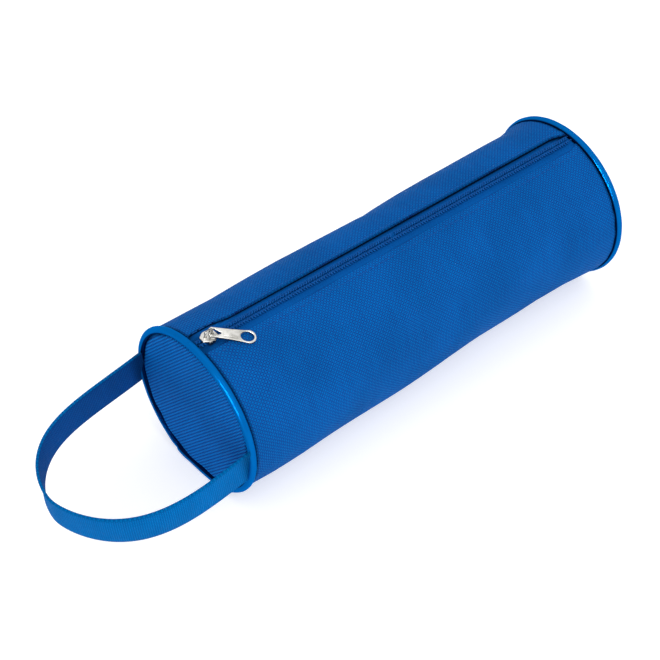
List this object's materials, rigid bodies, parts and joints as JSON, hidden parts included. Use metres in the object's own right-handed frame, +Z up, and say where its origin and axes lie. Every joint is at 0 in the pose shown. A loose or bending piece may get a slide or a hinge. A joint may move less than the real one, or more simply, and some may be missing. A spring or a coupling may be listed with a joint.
{
  "type": "pencil case",
  "caption": "Round tube pencil case of woven cloth with piped ends, a zipper along the top with a metal pull tab, and a webbing carrying loop sewn to one end.",
  "frame": {"origin": "middle of the flat strip along the underside that the case lies on", "axes": "+X runs along the case from the end with the carrying loop to the other end, +Y to the back, +Z up through the zipped side"},
  "size_m": [0.2935, 0.0804, 0.0819],
  "materials": {
    "body_cloth": "coarse plain-woven polyester",
    "end_cloth": "coarse plain-woven polyester",
    "seam_cloth": "turned-in cloth edge",
    "piping": "smooth glossy soft vinyl",
    "thread": "sewing thread",
    "zipper_tape": "fine woven tape",
    "zipper_coil": "nylon coil, satin",
    "metal": "nickel plated, satin",
    "webbing": "ribbed woven webbing"
  },
  "bodies": {
    "case": {"body_panel": "body_cloth", "near_end_panel": "end_cloth", "far_end_panel": "end_cloth", "near_piping": "piping", "far_piping": "piping", "near_seam_allowance": "seam_cloth", "far_seam_allowance": "seam_cloth", "near_seam_thread": "thread", "far_seam_thread": "thread", "zipper_tape_front": "zipper_tape", "zipper_coil_front": "zipper_coil", "topstitch_front": "thread", "strap_end_front": "webbing", "strap_end_back": "webbing"},
    "mouth_flap": {"mouth_flap": "body_cloth", "zipper_tape_back": "zipper_tape", "zipper_coil_back": "zipper_coil", "topstitch_back": "thread"},
    "slider": {"slider_body": "metal", "slider_bridge": "metal"},
    "pull_tab": {"pull_tab": "metal"},
    "strap": {"strap_loop": "webbing"}
  },
  "joints": [
    {"name": "zip_slide", "type": "slide", "parent": "case", "child": "slider", "axis": [0.9998, -0.0182, -0.0017], "range_m": [0, 0.19]},
    {"name": "mouth_open", "type": "hinge", "parent": "case", "child": "mouth_flap", "pos_m": [0, 0.03113, 0.06], "axis": [-1, 0, 0], "range_deg": [0, 26], "deforming": ["zipper_tape_back", "zipper_coil_back"]},
    {"name": "pull_tab_swing", "type": "hinge", "parent": "slider", "child": "pull_tab", "pos_m": [-0.10213, -0.00209, 0.08019], "axis": [-0.6273, -0.729, -0.274], "range_deg": [0, 120]},
    {"name": "strap_swing", "type": "hinge", "parent": "case", "child": "strap", "pos_m": [-0.12171, 0.00017, 0.0337], "axis": [0, 0.9993, 0.0384], "range_deg": [-8, 95], "deforming": ["strap_end_front", "strap_end_back"]}
  ],
  "couplings": [
    {"joint": "mouth_open", "follows": "zip_slide", "rad_per_m": 2.3883}
  ]
}
